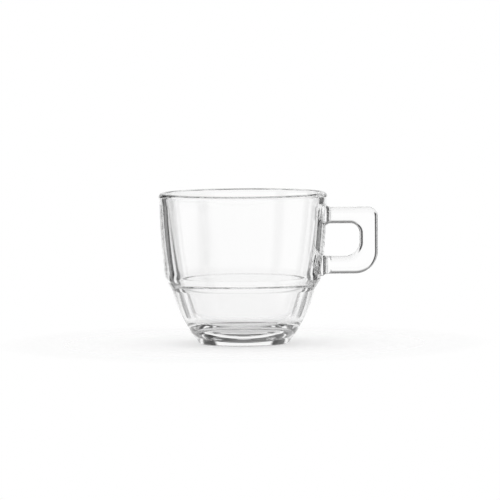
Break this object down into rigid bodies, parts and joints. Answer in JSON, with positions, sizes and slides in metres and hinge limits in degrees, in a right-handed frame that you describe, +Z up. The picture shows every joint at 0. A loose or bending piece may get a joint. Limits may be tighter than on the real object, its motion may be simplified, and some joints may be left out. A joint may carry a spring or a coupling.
{
  "type": "espresso glass",
  "caption": "Small clear pressed-glass coffee cup with a stepped bowl, rounded rim, thick dished base on a foot ring and a D-shaped side handle.",
  "frame": {"origin": "on the table under the middle of the whole glass, handle included: the bowl's axis stands 9.7 mm to -X of it", "axes": "+Z up through the mouth, +X from the bowl towards the handle, the handle's plate lies in the XZ plane"},
  "size_m": [0.0848, 0.0654, 0.0585],
  "materials": {
    "clear_glass": "clear fire-polished pressed soda-lime glass"
  },
  "bodies": {
    "root": {"upper_bowl": "clear_glass", "lower_bowl": "clear_glass", "base": "clear_glass", "handle": "clear_glass"}
  },
  "joints": []
}
